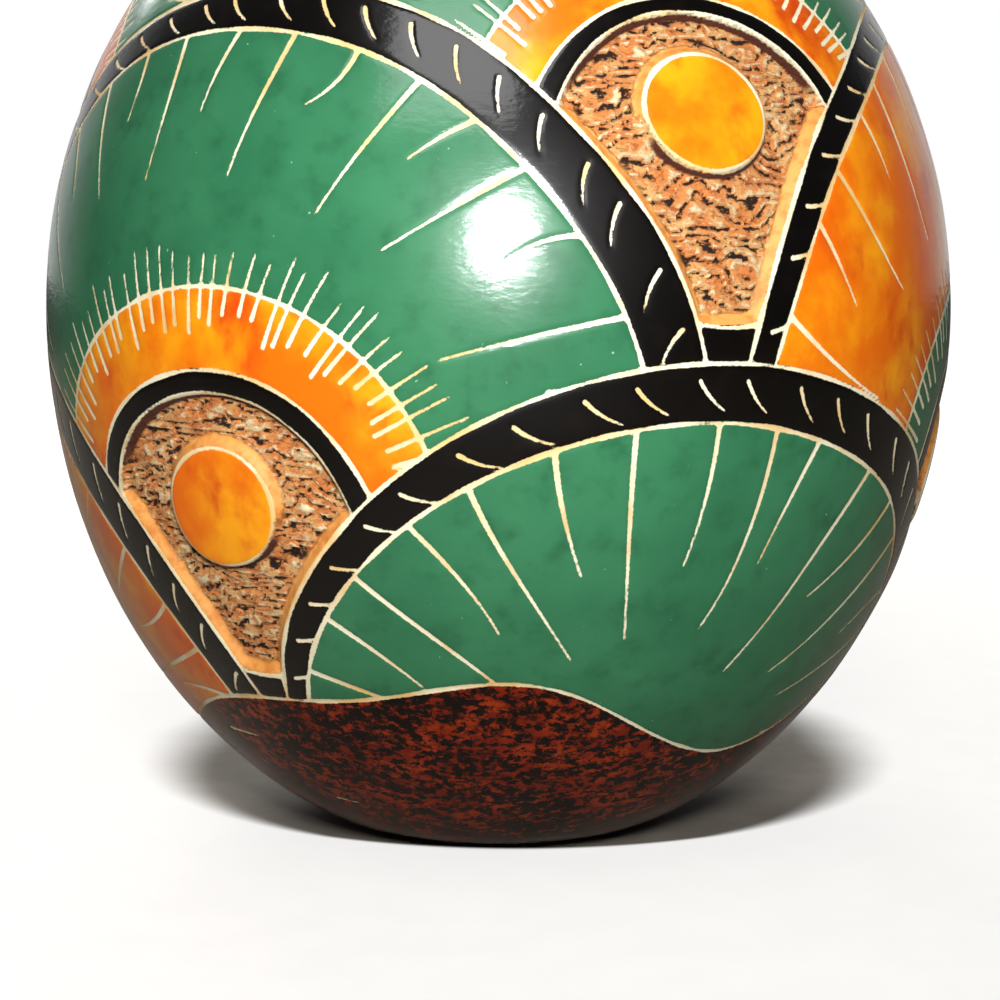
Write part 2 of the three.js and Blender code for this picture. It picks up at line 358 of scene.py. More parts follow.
# %% All the fans, top row first
TOP_FAN = 121.0
FAN_DROP = 72.0
FRONT_SHIFT = 40.0
CARVED_ROWS = 3
LONGEST_RAY, LONGEST_OVER_HEART = 52.0, 33.0
HEART_COLOUR = {GREEN: ORANGE, ORANGE: GREEN}
FAN_ROWS = (
    (GREEN, GREEN, ORANGE),
    (GREEN, ORANGE, GREEN),
    (ORANGE, GREEN, GREEN),
    (GREEN, GREEN, ORANGE),
)
for row, colours in enumerate(FAN_ROWS):
    fan_y = TOP_FAN - row * FAN_DROP
    carved = row < CARVED_ROWS
    aside = 0 if row % 2 else 0.5
    for place, colour in enumerate(colours):
        fan_x = FRONT_SHIFT + (place + aside) * fan_span
        field = draw_field(fan_x, fan_y, colour, LONGEST_OVER_HEART if carved else LONGEST_RAY)
        if carved:
            draw_heart(fan_x, fan_y, HEART_COLOUR[colour], field)
print(f"{FANS * len(FAN_ROWS)} fans, {fan_span:.0f} mm apart")

# %% [markdown]
# Below the fans the potter has sponged black over rust slip, up to a line that rolls like low hills, one
# large and two small to each fan's width. Distances to that line are taken straight up and cut by how much it
# leans, so that the line round the coat is about as wide as the others.

# %% Hills round the foot
HILL_LINE = -80.0
HILL_HEIGHT, HILL_START = 13.0, 2.2
SMALL_HILL_SHARE, SMALL_HILL_START = 0.35, 0.6
HILL_LEAN = 0.93
hill_phase = FANS * drawn_x / belly_radius
hills = HILL_LINE + HILL_HEIGHT * np.sin(hill_phase + HILL_START)
hills += SMALL_HILL_SHARE * HILL_HEIGHT * np.sin(2 * hill_phase + SMALL_HILL_START)
lay_slip((drawn_y - hills) * shrink * HILL_LEAN, RUST)
print(f"hills from {hills.min():.0f} to {hills.max():.0f} mm on the sheet")

# %% [markdown]
# Above the fans a black band closes the dome under the neck, with short strokes standing on its edge, and
# two rings are turned into the neck while the pot is on the wheel. A few nicks near the foot are left from
# years of use.

# %% Shoulder band, neck rings and nicks
SHOULDER_LINE = 101.0
STROKES, LONG_STROKE, SHORT_STROKE = 84, 15, 9
STROKE_ASIDE, STROKE_WIDTH, STROKE_BOW = 2.5, 1.0, 0.6
NECK_RINGS, RING_WIDTH = (0.30, 0.42), 0.9
NICKS, NICK_WIDTH = 16, 0.7
NICK_BAND, NICK_LENGTH, NICK_RISE = (-150, -90), (7, 14), 2.5
shoulder = (SHOULDER_LINE - drawn_y) * shrink
lay_slip(shoulder, BLACK)
for stroke in range(STROKES):
    x = girth * stroke / STROKES
    tip_y = SHOULDER_LINE + (LONG_STROKE if stroke % 2 else SHORT_STROKE)
    scratch((x, SHOULDER_LINE), (x + STROKE_ASIDE, tip_y), STROKE_WIDTH, STROKE_BOW, shoulder)
for share in NECK_RINGS:
    ring_y = np.interp(collar_seat + share * (neck_top - collar_seat), chart, chart_y)
    scratch_along((row_y[:, None] - ring_y) * shrink, RING_WIDTH)
for _ in range(NICKS):
    x, y = hand.uniform(0, girth), hand.uniform(*NICK_BAND)
    end = (x + hand.uniform(*NICK_LENGTH), y + hand.uniform(-NICK_RISE, NICK_RISE))
    scratch((x, y), end, NICK_WIDTH, 0)
shares = np.bincount(slip.ravel(), minlength=BARE) / slip.size
print("share of green, black, orange, rust, carved:", np.round(shares, 2))

# %% [markdown]
# The lines are shallow rounded grooves. The hollows are cut with a gouge pushed upward, so they slope in
# gently from below and end steeply above. Each stroke of the gouge goes deeper as it climbs and breaks off,
# which leaves a floor of ragged steps, like split rock. Height divided by the height of a step, and pushed
# about by random lumps, gives the number of the step, and the part after the point is how far up it one is.
# The slope of the distance to the edge tells the top of a hollow, where it rises, from its sides and bottom.
# All of this moves real points of the mesh, so it casts shadows.

# %% Depth of the lines and hollows
GROOVE_DEPTH = 0.16
GROOVE_REACH = 0.45
HOLLOW_DEPTH = 1.9
BEVEL_BELOW, BEVEL_ABOVE = 2.6, 0.9
BEVEL_END = 1.5
SIDE_END, TOP_START, TOP_GAIN = 0.8, 0.4, 2
STEP_HEIGHT, STEP_DEPTH = 2.4, 1.3
STEP_START, STEP_LEVEL = 0.7, 0.4
COARSE_LUMPS, COARSE_PUSH = (9.0, 5.0), 2.4
FINE_LUMPS = (2.6, 1.8)
CHIP_LUMPS, CHIP_GAIN, CHIP_LOSS, LEAST_CHIP = (4.5, 2.4), 1.5, 0.15, 0.25
UNEVEN, UNEVEN_TURNS, UNEVEN_WAVES = 0.05, 22, 10


def eased(share):
    """A share from 0 to 1 that starts and ends gently."""
    share = np.clip(share, 0, 1)
    return share * share * (3 - 2 * share)


def lumps(wide, high):
    """A random field from 0 to 1 on the sheet, with lumps of a width and height in mm."""
    across = round(girth / wide)
    levels = int((row_y[-1] - row_y[0]) / high) + 4
    lattice = hand.uniform(0, 1, (levels, across))
    column = drawn_x / girth * across
    row = np.clip((drawn_y - row_y[0]) / high + 1, 0, levels - 2)
    left, low = np.floor(column).astype(int), np.floor(row).astype(int)
    aside, up = eased(column - left), eased(row - low)
    below = lattice[low, left % across] * (1 - aside) + lattice[low, (left + 1) % across] * aside
    above = lattice[low + 1, left % across] * (1 - aside) + lattice[low + 1, (left + 1) % across] * aside
    return below * (1 - up) + above * up


step = drawn_y / STEP_HEIGHT + COARSE_PUSH * lumps(*COARSE_LUMPS) + lumps(*FINE_LUMPS)
climbed = step - np.floor(step)
chip = climbed * np.clip(CHIP_GAIN * lumps(*CHIP_LUMPS) - CHIP_LOSS, LEAST_CHIP, 1)
to_top = np.clip(np.gradient(hollow, axis=0) / ROW_STEP, -1, 1)
bevel = (BEVEL_BELOW + BEVEL_ABOVE) / 2 - (BEVEL_BELOW - BEVEL_ABOVE) / 2 * to_top
into = np.clip(-hollow / bevel, 0, None)
# Bevelled is above zero on the bevel below and at the sides, and below zero on the bevel at the top, where
# the carved clay paints shade.
bevelled = eased(BEVEL_END - into) * (eased(SIDE_END - to_top) - eased(TOP_GAIN * to_top - TOP_START))
sunk = eased(into) * HOLLOW_DEPTH
sunk += eased(-hollow - STEP_START * bevel) * STEP_DEPTH * (chip - STEP_LEVEL)
sunk += GROOVE_DEPTH * np.exp(-(np.clip(cut + LINE / 2, 0, FAR) / GROOVE_REACH) ** 2)
unevenness = slow_waves(UNEVEN, UNEVEN_TURNS, UNEVEN_WAVES)
sunk += unevenness - unevenness.min()
print(f"deepest cut {sunk.max():.2f} mm, {(hollow < 0).sum()} carved points")

# %% [markdown]
# Each section becomes rows of points, one row for each height and one column for each angle. The painted rows
# are those of the sheet, moved in square to the wall by as much as the cuts are deep.

# %% Points of the cut wall
def ring_points(heights, radii, columns=COLUMNS):
    """Points of rings in mm, one row for each height. Heights and radii may also vary along a row."""
    angle = np.arange(columns) * 2 * math.pi / columns
    heights = np.asarray(heights, float).reshape(len(heights), -1) * np.ones((1, columns))
    radii = np.asarray(radii, float).reshape(len(radii), -1) * np.ones((1, columns))
    return np.stack([radii * np.sin(angle), -radii * np.cos(angle), heights], axis=-1)


lean = np.interp(row_height, chart, np.gradient(wall_radius(chart), chart))
out_r = (1 / np.hypot(1, lean))[:, None]
out_z = (-lean / np.hypot(1, lean))[:, None]
cut_wall = ring_points(row_height[:, None] - sunk * out_z, row_radius[:, None] - sunk * out_r)
print("cut wall, rows and columns:", cut_wall.shape[:2])

# %% [markdown]
# Each section's mesh is closed: its rows run up the outside, over the joint and down the inside. Rows of
# equal length joined into a loop make a ring of four-sided faces, which shades cleanly and has no loose edge.
# Blender splits such a face from its first corner to its third, so where a scratched line crosses the other
# way the face starts one corner later, or else the line would look like a string of beads. The joints are
# hidden inside the wall, and their corners are marked sharp so that the shading of the outside runs on from
# one section to the next.

# %% Faces between rows
def later_start(values):
    """1 for each face of a loop that has its larger values at its second and fourth corners, or else 0."""
    above = np.roll(values, -1, axis=0)
    other_way = np.roll(values, -1, axis=1) + above > values + np.roll(above, -1, axis=1)
    return other_way.astype(int)


def ring_faces(count, columns, loop, start):
    """Corners of the faces between rows of points, each counted from the face's starting corner."""
    lower = np.arange(count if loop else count - 1)
    left = np.arange(columns)
    upper, right = (lower + 1) % count, (left + 1) % columns
    corners = ((lower, left), (lower, right), (upper, right), (upper, left))
    quads = np.stack([row[:, None] * columns + column[None, :] for row, column in corners], axis=-1)
    order = (np.arange(4) + np.full(quads.shape[:2], start)[..., None]) % 4
    return np.take_along_axis(quads, order, axis=-1)


# %% Turned meshes
def turned_mesh(name, rows, sharp_rows, loop=True, start=0):
    """A mesh of rows of points. A loop joins its last row to its first, or else a fan closes each end."""
    count, columns, _ = rows.shape
    points = rows.reshape(-1, 3) * MM
    quads = ring_faces(count, columns, loop, start)
    fans = []
    if not loop:
        ends = np.array([[0, 0, rows[0, 0, 2]], [0, 0, rows[-1, 0, 2]]]) * MM
        points = np.concatenate([points, ends])
        left = np.arange(columns)
        right = (left + 1) % columns
        top = (count - 1) * columns
        fans.append(np.column_stack([right, left, np.full(columns, count * columns)]))
        fans.append(np.column_stack([top + left, top + right, np.full(columns, count * columns + 1)]))
    corner_points = np.concatenate([quads.ravel(), *[fan.ravel() for fan in fans]])
    sizes = np.concatenate([np.full(quads.size // 4, 4), np.full(columns * len(fans), 3)])
    mesh = bpy.data.meshes.new(name)
    mesh.vertices.add(len(points))
    mesh.vertices.foreach_set("co", points.ravel().astype(np.float32))
    mesh.loops.add(len(corner_points))
    mesh.loops.foreach_set("vertex_index", corner_points.astype(np.int32))
    mesh.polygons.add(len(sizes))
    mesh.polygons.foreach_set("loop_start", (np.cumsum(sizes) - sizes).astype(np.int32))
    mesh.update(calc_edges=True)
    edge_ends = np.zeros(len(mesh.edges) * 2, np.int32)
    mesh.edges.foreach_get("vertices", edge_ends)
    ring = edge_ends.reshape(-1, 2) // columns
    corner = np.isin(ring[:, 0], sharp_rows) & (ring[:, 0] == ring[:, 1])
    mesh.attributes.new("sharp_edge", "BOOLEAN", "EDGE").data.foreach_set("value", corner)
    return mesh


# %% Pieces in place of CAD sections
def add_piece(name, mesh, node):
    """Puts a mesh in the scene in place of a CAD section."""
    piece = bpy.data.objects.new(name, mesh)
    bpy.context.scene.collection.objects.link(piece)
    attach(piece, "root")
    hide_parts(node)
    print(f"{name}: {len(mesh.vertices)} points, {len(mesh.polygons)} faces")


print("points and faces are counted as each piece is added")

# %% [markdown]
# The slips differ only in colour and a little in gloss, so one material each is enough, and the mesh says
# which face wears which. The scratched lines run through all of them and are not faces of their own: each
# point stores how near it is to a line, and a slip's material turns to bare clay where that passes the
# line's edge. The edge stays sharp however large the faces are.

# %% Colours, nodes and finishes
def linear(hex_code):
    """A linear colour from an sRGB hex code."""
    parts = [int(hex_code[i:i + 2], 16) / 255 for i in (1, 3, 5)]
    return (*[p / 12.92 if p <= 0.04045 else ((p + 0.055) / 1.055) ** 2.4 for p in parts], 1.0)


def add(tree, kind, inputs=None, **settings):
    """Adds a node. Settings go on the node, and each input gets a value or the socket that feeds it."""
    made = tree.nodes.new(kind)
    for name, value in settings.items():
        setattr(made, name, value)
    for name, value in (inputs or {}).items():
        if isinstance(value, bpy.types.NodeSocket):
            tree.links.new(value, made.inputs[name])
        else:
            made.inputs[name].default_value = value
    return made


def new_finish(name):
    """A material with its node tree and its shader."""
    finish = bpy.data.materials.new(name)
    finish.use_nodes = True
    return finish, finish.node_tree, finish.node_tree.nodes["Principled BSDF"]


print("one function adds every node")

# %% Patches and coats of colour
MIX_FACTOR, NUMBER_A, NUMBER_B = 0, 2, 3
COLOUR_A, COLOUR_B, COLOUR_RESULT = 6, 7, 2


def patches(tree, size_mm, low, high, detail=3.0, rough=0.55, squat=1.0):
    """A mask of soft patches about size_mm across, which rises from 0 to 1 between two noise levels."""
    place = add(tree, "ShaderNodeTexCoord").outputs["Object"]
    squashed = add(tree, "ShaderNodeMapping", {"Vector": place, "Scale": (1, 1, squat)})
    grain = {"Vector": squashed.outputs["Vector"], "Scale": 1 / (size_mm * MM), "Detail": detail}
    noise = add(tree, "ShaderNodeTexNoise", {**grain, "Roughness": rough}).outputs["Fac"]
    limits = {"Value": noise, "From Min": low, "From Max": high}
    return add(tree, "ShaderNodeMapRange", limits, interpolation_type="SMOOTHSTEP").outputs["Result"]


def coats(tree, ground, *layers):
    """Lays colours over a ground, the newest last. Each layer is a mask and a colour."""
    colour = ground
    for mask, layer in layers:
        inputs = {MIX_FACTOR: mask, COLOUR_A: colour, COLOUR_B: layer}
        colour = add(tree, "ShaderNodeMix", inputs, data_type="RGBA").outputs[COLOUR_RESULT]
    return colour


print("a finish is a ground and the coats over it")

# %% [markdown]
# Fired earthenware has an IOR of about 1.5. Burnishing lays the clay plates flat, which gives a gloss like a
# polished pebble: low roughness, with faint marks of the stone. A film of wax, dulled by handling, lies over
# it as a rough coat and puts a haze round every glint. Bare clay in a scratch is chalky and pale.

# %% Burnished slip with lines through it
GLOSS, GLOSS_WORN = 0.15, 0.06
CHALKY = 0.85
WAX, WAX_ROUGHNESS = 0.35, 0.36
STONE_MARKS, STONE_DEPTH = 0.08, 0.2
IOR_FIRED_CLAY = 1.5
LINE_MARGIN = 1.0
RAGGED, CRISP = 0.16, 0.02


def scratched_clay(tree):
    """The mask of the lines scratched to the clay, and the clay's colour in them."""
    near = add(tree, "ShaderNodeAttribute", attribute_name="near_line").outputs["Fac"]
    ragged = patches(tree, 0.7, 0.2, 0.8)
    edge = add(tree, "ShaderNodeMath", {0: ragged, 1: -RAGGED, 2: near}, operation="MULTIPLY_ADD").outputs[0]
    limits = {"Value": edge, "From Min": LINE_MARGIN - RAGGED, "From Max": LINE_MARGIN - CRISP}
    mask = add(tree, "ShaderNodeMapRange", limits).outputs["Result"]
    clay = coats(tree, linear("#f6ecca"), (patches(tree, 14.0, 0.42, 0.66), linear("#e6c07e")))
    return mask, clay


def burnish(tree, shader, colour, gloss=GLOSS, film=WAX):
    """Ends a slip's material: the lines scratched through it, the gloss, the marks of the stone, the wax."""
    scratched, clay = scratched_clay(tree)
    tree.links.new(coats(tree, colour, (scratched, clay)), shader.inputs["Base Color"])
    worn = patches(tree, 9.0, 0.35, 0.75)
    shine = add(tree, "ShaderNodeMapRange", {"Value": worn, "To Min": gloss, "To Max": gloss + GLOSS_WORN})
    either = {MIX_FACTOR: scratched, NUMBER_A: shine.outputs["Result"], NUMBER_B: CHALKY}
    tree.links.new(add(tree, "ShaderNodeMix", either).outputs[0], shader.inputs["Roughness"])
    stone = patches(tree, 2.2, 0.3, 0.7, detail=4.0, squat=2.0)
    relief = {"Height": stone, "Strength": STONE_MARKS, "Distance": STONE_DEPTH * MM}
    marks = add(tree, "ShaderNodeBump", relief)
    tree.links.new(marks.outputs["Normal"], shader.inputs["Normal"])
    shader.inputs["IOR"].default_value = IOR_FIRED_CLAY
    shader.inputs["Coat Weight"].default_value = film
    shader.inputs["Coat Roughness"].default_value = WAX_ROUGHNESS


print(f"burnished slip: roughness {GLOSS}, IOR {IOR_FIRED_CLAY}")

# %% [markdown]
# Copper-green slip, brushed on thick and even. Close up it is slightly cloudy, with a few pale grains.

# %% Green slip
green_slip, tree, shader = new_finish("copper_green_slip_burnished")
green = coats(
    tree,
    linear("#2d6f4b"),
    (patches(tree, 26, 0.3, 0.7), linear("#387c55")),
    (patches(tree, 6, 0.45, 0.8), linear("#286543")),
    (patches(tree, 1.1, 0.79, 0.83, detail=1.0), linear("#8fb59a")),
)
burnish(tree, shader, green)
print(f"{green_slip.name}: {len(tree.nodes)} nodes")

# %% [markdown]
# Black slip, coloured with manganese and iron. It takes the highest gloss of all and is warm where thin.

# %% Black slip
BLACK_GLOSS = 0.11
black_slip, tree, shader = new_finish("manganese_black_slip_burnished")
black = coats(tree, linear("#050302"), (patches(tree, 5, 0.5, 0.85), linear("#100907")))
burnish(tree, shader, black, BLACK_GLOSS)
print(f"{black_slip.name}: {len(tree.nodes)} nodes")

# %% [markdown]
# Orange slip wiped with a cloth before it dried, so that yellow shows through in clouds and red gathers
# between them.

# %% Orange slip
orange_slip, tree, shader = new_finish("iron_orange_slip_burnished")
orange = coats(
    tree,
    linear("#ef7006"),
    (patches(tree, 17, 0.38, 0.66, detail=4.0), linear("#ffa512")),
    (patches(tree, 12, 0.52, 0.74, detail=5.0, squat=0.7), linear("#d8480a")),
)
burnish(tree, shader, orange)
print(f"{orange_slip.name}: {len(tree.nodes)} nodes")

# %% [markdown]
# Rust slip dabbed all over with a sponge of black. The dabs are up to 2 mm across, cover more than half of
# the red, crowd together in places and are drawn out sideways, because the pot was turning. The foot is wiped
# clean of wax, so that it doesn't stick to a shelf.

# %% Rust slip, sponged
RUST_GLOSS = 0.16
NO_WAX = 0.0
rust_slip, tree, shader = new_finish("red_iron_slip_sponged_black_burnished")
sparse_dabs = patches(tree, 2.1, 0.45, 0.54, detail=6.0, rough=0.72, squat=1.4)
crowded_dabs = patches(tree, 2.1, 0.38, 0.49, detail=6.0, rough=0.72, squat=1.4)
crowding = patches(tree, 16, 0.42, 0.6, detail=3.0, squat=1.5)
either = {MIX_FACTOR: crowding, NUMBER_A: sparse_dabs, NUMBER_B: crowded_dabs}
dabs = add(tree, "ShaderNodeMix", either).outputs[0]
rust = coats(
    tree,
    linear("#7c1d05"),
    (patches(tree, 7, 0.42, 0.62, squat=1.5), linear("#a0330a")),
    (dabs, linear("#090201")),
)
burnish(tree, shader, rust, RUST_GLOSS, NO_WAX)
print(f"{rust_slip.name}: {len(tree.nodes)} nodes")

# %% [markdown]
# Where the slip is carved away the clay is dry and rough, like broken rock. Painted shade darkens
# the crease at the top of each step, and a painted highlight makes the lip of the next pale. The bevel,
# which the gouge left smooth, is orange below and at the sides, and on top it is painted a dark red-brown
# as shade under the top edge. One noise drives both the colour and the small relief.

# %% Carved clay
CREASE_SHADE_EDGE, LIP_HIGHLIGHT_EDGE = (0.34, 0.54), (-0.02, -0.24)
SMOOTH_EDGE, SHADED_EDGE = (0.2, 0.5), (-0.2, -0.6)
ROCK_SHARE, WORN_SHARE = 0.6, 0.4
CARVED_ROUGHNESS = 0.6
GRIT_DEPTH = 0.6
carved_clay, tree, shader = new_finish("buff_earthenware_carved")
up_step = add(tree, "ShaderNodeAttribute", attribute_name="climbed").outputs["Fac"]
bevel_side = add(tree, "ShaderNodeAttribute", attribute_name="bevelled").outputs["Fac"]
rock = patches(tree, 1.9, 0.3, 0.7, detail=6.0, rough=0.7, squat=1.6)
parts = {0: rock, 1: -ROCK_SHARE, 2: up_step}
shade = add(tree, "ShaderNodeMath", parts, operation="MULTIPLY_ADD").outputs[0]
parts = {0: rock, 1: -WORN_SHARE, 2: bevel_side}
worn_in = add(tree, "ShaderNodeMath", parts, operation="MULTIPLY_ADD").outputs[0]
masks = []
# Masks for painted shade in each crease, a painted highlight on each lip, the smooth bevel, and painted shade
# on the top bevel.
for value, (low, high) in (
    (shade, CREASE_SHADE_EDGE),
    (shade, LIP_HIGHLIGHT_EDGE),
    (worn_in, SMOOTH_EDGE),
    (bevel_side, SHADED_EDGE),
):
    limits = {"Value": value, "From Min": low, "From Max": high}
    masks.append(add(tree, "ShaderNodeMapRange", limits).outputs["Result"])
painted_shade_creases, painted_highlight_lips, smooth, shaded = masks
gouged = coats(tree, linear("#e8a050"), (patches(tree, 2.5, 0.4, 0.7), linear("#cf7f34")))
# Over the clay go the painted highlight on each lip, painted shade in each crease and on the top bevel, then
# the smooth bevel and the lines.
clay = coats(
    tree,
    linear("#f89a50"),
    (patches(tree, 4.0, 0.4, 0.65), linear("#ffc47c")),
    (patches(tree, 1.2, 0.5, 0.7), linear("#d2702f")),
    (painted_highlight_lips, linear("#ffe9b8")),
    (painted_shade_creases, linear("#240a04")),
    (shaded, linear("#5a240b")),
    (smooth, gouged),
    scratched_clay(tree),
)
tree.links.new(clay, shader.inputs["Base Color"])
shader.inputs["Roughness"].default_value = CARVED_ROUGHNESS
shader.inputs["IOR"].default_value = IOR_FIRED_CLAY
rough_floor = add(tree, "ShaderNodeMath", {0: smooth, 1: rock}, operation="MAXIMUM")
grit = {"Height": rough_floor.outputs[0], "Strength": 1.0, "Distance": GRIT_DEPTH * MM}
tree.links.new(add(tree, "ShaderNodeBump", grit).outputs["Normal"], shader.inputs["Normal"])
print(f"{carved_clay.name}: {len(tree.nodes)} nodes")

# %% [markdown]
# Nobody burnishes the inside or the underside. They are bare fired clay with sand in it, smoked a little
# darker in the kiln.

# %% Bare clay
bare_clay, tree, shader = new_finish("red_earthenware_bare")
smoked = coats(
    tree,
    linear("#a9623c"),
    (patches(tree, 30, 0.3, 0.7), linear("#7d452b")),
    (patches(tree, 1.5, 0.6, 0.7), linear("#c98d63")),
)
tree.links.new(smoked, shader.inputs["Base Color"])
shader.inputs["Roughness"].default_value = CHALKY
shader.inputs["IOR"].default_value = IOR_FIRED_CLAY
FINISHES = (green_slip, black_slip, orange_slip, rust_slip, carved_clay, bare_clay)
print("finishes:", [finish.name for finish in FINISHES])

# %% [markdown]
# Every piece gets only the materials that it wears. The painted sections also store the distances that their
# materials read, and a map for baking, which unrolls the outside in four large panels, so that a picture
# baked through it spends its pixels on what is seen.

# %% Dress a mesh
PANELS = 4
PANEL_SHARE = 0.4
EDGE_SHARE = 0.01


def wear(mesh, slips):
    """Gives each face the finish of its slip."""
    used, numbers = np.unique(slips, return_inverse=True)
    for worn in used:
        mesh.materials.append(FINISHES[worn])
    mesh.polygons.foreach_set("material_index", numbers.ravel().astype(np.int32))


def store(mesh, name, values):
    """Keeps a number at each point of the outside, and zero at the rest."""
    every = np.zeros(len(mesh.vertices), np.float32)
    every[:values.size] = values.ravel()
    mesh.attributes.new(name, "FLOAT", "POINT").data.foreach_set("value", every)


def bake_map(mesh, rows, outer, start):
    """Unrolls the outer rows of a loop in four panels, and the other rows in a strip above them."""
    row, column = np.divmod(np.arange(rows * COLUMNS)[:, None], COLUMNS)
    order = (np.arange(4) + start.reshape(-1, 1)) % 4
    corner_row = row + np.array([0, 0, 1, 1])[order]
    corner_column = column + np.array([0, 1, 1, 0])[order]
    panel = column * PANELS // COLUMNS
    inner = 1 - 2 * EDGE_SHARE
    panel_u = (panel % 2 + EDGE_SHARE + inner * (corner_column * PANELS / COLUMNS - panel)) / 2
    panel_v = PANEL_SHARE * (panel // 2 + EDGE_SHARE + inner * corner_row / (outer - 1))
    strip_u = EDGE_SHARE + inner * corner_column / COLUMNS
    strip_low = 2 * PANEL_SHARE + EDGE_SHARE
    strip_v = strip_low + (1 - EDGE_SHARE - strip_low) * (corner_row - outer + 1) / (rows - outer + 1)
    outside = row < outer - 1
    flat = np.stack([np.where(outside, panel_u, strip_u), np.where(outside, panel_v, strip_v)], axis=-1)
    mesh.uv_layers.new(name="OFBake").uv.foreach_set("vector", flat.ravel().astype(np.float32))


print(f"bake map: {PANELS} panels")

# %% [markdown]
# The two bowls and the neck are made alike. Inside, a thrown pot keeps the low spiral ridges of the potter's
# fingers, so the inner rows follow a slow spiral that runs on through all three.

# %% Bowls and neck
RIDGE_SPACING = 14.0
RIDGE_HEIGHT = 0.5
INNER_STEP = 3.0


def finger_ridges(heights):
    """Rows of points down the inside of the wall, with a spiral of low ridges."""
    ridge = 0.5 - 0.5 * np.cos(2 * math.pi * heights[:, None] / RIDGE_SPACING + column_angle[None, :])
    return ring_points(heights, wall_radius(heights, wall)[:, None] - RIDGE_HEIGHT * ridge)


def wall_section(name, node, part, inner_low, foot=None):
    """A painted section: its outer rows, and inner rows from its top down to a height or to a foot ring."""
    outside = cut_wall[part]
    inside = finger_ridges(wall_rows(inner_low, row_height[part][-1], INNER_STEP, wall)[::-1])
    rows = np.concatenate([outside, inside] if foot is None else [outside, inside, foot])
    outer, inner_end = len(outside), len(outside) + len(inside) - 1
    near_line = np.zeros(rows.shape[:2])
    near_line[:outer] = np.clip(LINE_MARGIN - cut[part], 0, None)
    start = later_start(near_line)
    mesh = turned_mesh(name, rows, [0, outer - 1, outer, inner_end, len(rows) - 1], start=start)
    slips = np.full((len(rows), COLUMNS), BARE)
    corners = np.stack([slip[part][:-1], slip[part][1:]])
    corners = np.sort(np.concatenate([corners, np.roll(corners, -1, axis=2)]), axis=0)
    slips[:outer - 1] = corners[1]
    wear(mesh, slips)
    store(mesh, "near_line", near_line)
    # The carved clay reads climbed and bevelled to paint shade in each crease and on the top bevel, and a
    # highlight on each lip.
    store(mesh, "climbed", climbed[part])
    store(mesh, "bevelled", bevelled[part])
    bake_map(mesh, len(rows), outer, start)
    add_piece(name, mesh, node)


wall_foot = ring_points([ledge], [wall_radius(floor_top, wall)])
wall_section("painted_lower_bowl", "lower_bowl", LOWER, floor_top, wall_foot)
wall_section("painted_upper_bowl", "upper_bowl", UPPER, belly_height)
wall_section("black_neck", "neck_collar", NECK, collar_seat)

# %% [markdown]
# The base is the slab that the wall stands on. Its edge carries the sponged slip on, and its underside is
# bare and rubbed flat by the table.

# %% Base
FOOT_BEVEL = 0.6
FLAT_RINGS = np.array([0.25, 0.5, 0.75, 1.0])
under_radii = FLAT_RINGS * (foot_radius - FOOT_BEVEL)
floor_radii = FLAT_RINGS[::-1] * pad_radius
base_points = np.concatenate([
    ring_points(np.zeros_like(under_radii), under_radii),
    cut_wall[BASE],
    ring_points([ledge], [pad_radius]),
    ring_points(np.full_like(floor_radii, floor_top), floor_radii),
])
first_outer, last_outer = len(under_radii), len(under_radii) + len(cut_wall[BASE]) - 1
base_mesh = turned_mesh(
    "rubbed_base",
    base_points,
    [first_outer - 1, last_outer, last_outer + 1, last_outer + 2],
    loop=False,
)
base_slips = np.full((len(base_points) - 1, COLUMNS), BARE)
base_slips[first_outer - 1:last_outer] = RUST
wear(base_mesh, np.concatenate([base_slips.ravel(), np.full(2 * COLUMNS, BARE)]))
add_piece("rubbed_base", base_mesh, "base_slab")

# %% [markdown]
# The lip is a coil of clay rolled onto the neck and smoothed with a wet finger, which leaves it a little
# uneven. It is sponged like the foot.

# %% Lip
LIP_STEPS = 33
LIP_COLUMNS = 600
LIP_UNEVEN = 0.25
SLOW_PRESS, QUICK_PRESS = 5, 11
lip_inner, lip_outer = rings("lip_coil")[1:]
lip_middle, lip_half = (lip_outer[0] + lip_inner[0]) / 2, (lip_outer[0] - lip_inner[0]) / 2
lip_turn = np.linspace(0, math.pi, LIP_STEPS)[:, None]
lip_angle = np.arange(LIP_COLUMNS)[None, :] * 2 * math.pi / LIP_COLUMNS
pressed = 0.5 + 0.3 * np.sin(SLOW_PRESS * lip_angle + 1) + 0.2 * np.sin(QUICK_PRESS * lip_angle)
pressed *= LIP_UNEVEN
lip_points = ring_points(
    neck_top + (pot_top - neck_top - pressed) * np.sin(lip_turn),
    lip_middle + (lip_half - pressed) * np.cos(lip_turn),
    LIP_COLUMNS,
)
lip_mesh = turned_mesh("rolled_lip", lip_points, [0, LIP_STEPS - 1])
wear(lip_mesh, np.full((LIP_STEPS, LIP_COLUMNS), RUST))
add_piece("rolled_lip", lip_mesh, "lip_coil")

# %% [markdown]
# The stage is a sheet of pale paper, wide enough to fill the view from any side. From here on lengths are in
# metres.

# %% Stage
SHEET_HALF = 3.0
sheet_mesh = bpy.data.meshes.new("pale_sheet")
sheet_corners = [(x * SHEET_HALF, y * SHEET_HALF, 0) for x, y in ((-1, -1), (1, -1), (1, 1), (-1, 1))]
sheet_mesh.from_pydata(sheet_corners, [], [(0, 1, 2, 3)])
pale_sheet = bpy.data.objects.new("pale_sheet", sheet_mesh)
bpy.context.scene.collection.objects.link(pale_sheet)
print("stage:", pale_sheet.name)
